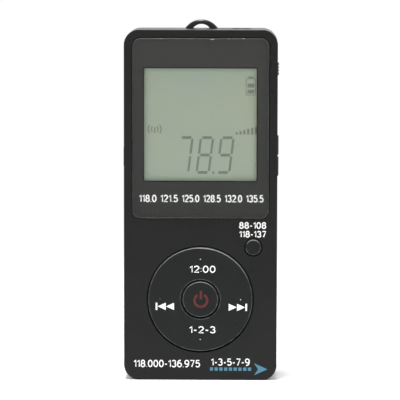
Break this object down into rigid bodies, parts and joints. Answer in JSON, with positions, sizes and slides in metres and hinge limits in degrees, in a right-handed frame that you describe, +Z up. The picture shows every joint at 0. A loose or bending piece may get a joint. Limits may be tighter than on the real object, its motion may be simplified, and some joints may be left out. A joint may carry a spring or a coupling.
{
  "type": "handheld aviation radio",
  "caption": "Pocket airband receiver with a large display, a four way key ring around a power key, a lanyard eye, side keys and a hinged battery door.",
  "frame": {"origin": "on the ground under the middle of the body, standing on its bottom end", "axes": "+Z up along the length of the body, display and keys face -Y, back faces +Y"},
  "size_m": [0.0448, 0.0183, 0.1035],
  "materials": {
    "case": "fine satin moulding",
    "lens": "hard coated acrylic, dark border printed behind",
    "keys": "satin keys",
    "tape": "black adhesive foam",
    "film": "grey green film",
    "cell_glass": "thin glass",
    "diffuser": "milky acrylic",
    "lamp": "white package",
    "soft": "grey silicone",
    "carbon": "conductive carbon",
    "frame": "white plastic",
    "board": "green solder mask",
    "gold": "thin gold over copper",
    "chip": "black epoxy",
    "tin": "nickel plate",
    "black_plastic": "black nylon",
    "ferrite": "dark sintered",
    "copper": "enamelled wire",
    "battery": "plain printed jacket",
    "steel": "zinc plate"
  },
  "bodies": {
    "body": {"front_case": "case", "rear_case": "case", "display_lens": "lens", "lens_tape": "tape", "dust_gasket": "tape", "front_polariser": "film", "front_glass": "cell_glass", "rear_glass": "cell_glass", "rear_polariser": "film", "light_guide": "diffuser", "backlight_lamp": "lamp", "contact_rubber": "soft", "display_holder": "frame", "main_board": "board", "copper_pads": "gold", "key_mat": "soft", "tuner_chip": "chip", "control_chip": "chip", "audio_chip": "chip", "power_coil": "chip", "crystal": "tin", "capacitors": "tin", "earphone_socket": "black_plastic", "socket_collar": "tin", "ferrite_rod": "ferrite", "aerial_coil": "copper", "rod_saddles": "frame", "key_switches": "black_plastic", "lock_switch": "black_plastic", "battery_cells": "battery", "bridge_contact": "tin", "positive_contact": "tin", "negative_contact": "tin", "contact_springs": "tin", "case_screws": "steel", "board_screws": "steel"},
    "key_cross": {"upright_posts": "soft", "upright_pills": "carbon"},
    "ring": {"nav_ring": "keys", "side_posts": "soft", "side_pills": "carbon"},
    "power": {"power_button": "keys", "power_post": "soft", "power_pill": "carbon"},
    "band": {"band_button": "keys", "band_post": "soft", "band_pill": "carbon"},
    "volume_up": {"volume_up_key": "keys", "volume_up_plunger": "black_plastic"},
    "volume_down": {"volume_down_key": "keys", "volume_down_plunger": "black_plastic"},
    "light": {"light_key": "keys", "light_plunger": "black_plastic"},
    "lock": {"lock_knob": "keys", "lock_stem": "black_plastic"},
    "door": {"battery_door": "case"}
  },
  "joints": [
    {"name": "ring_tilt_up_down", "type": "hinge", "parent": "body", "child": "key_cross", "pos_m": [0, -0.008, 0.02345], "axis": [1, 0, 0], "range_deg": [-1.4, 1.4], "stiffness_Nm_per_rad": 0.6},
    {"name": "ring_tilt_left_right", "type": "hinge", "parent": "key_cross", "child": "ring", "pos_m": [0, -0.008, 0.02345], "axis": [0, 0, 1], "range_deg": [-1.4, 1.4], "stiffness_Nm_per_rad": 0.6},
    {"name": "power_press", "type": "slide", "parent": "body", "child": "power", "axis": [0, 1, 0], "range_m": [0, 0.0003], "stiffness_N_per_m": 3000},
    {"name": "band_press", "type": "slide", "parent": "body", "child": "band", "axis": [0, 1, 0], "range_m": [0, 0.0003], "stiffness_N_per_m": 3000},
    {"name": "volume_up_press", "type": "slide", "parent": "body", "child": "volume_up", "axis": [-1, 0, 0], "range_m": [0, 0.0003], "stiffness_N_per_m": 3000},
    {"name": "volume_down_press", "type": "slide", "parent": "body", "child": "volume_down", "axis": [-1, 0, 0], "range_m": [0, 0.0003], "stiffness_N_per_m": 3000},
    {"name": "light_press", "type": "slide", "parent": "body", "child": "light", "axis": [1, 0, 0], "range_m": [0, 0.0003], "stiffness_N_per_m": 3000},
    {"name": "lock_slide", "type": "slide", "parent": "body", "child": "lock", "axis": [0, 0, 1], "range_m": [0, 0.0016]},
    {"name": "door_open", "type": "hinge", "parent": "body", "child": "door", "pos_m": [0, 0.0082, 0.0034], "axis": [-1, 0, 0], "range_deg": [0, 90]}
  ]
}
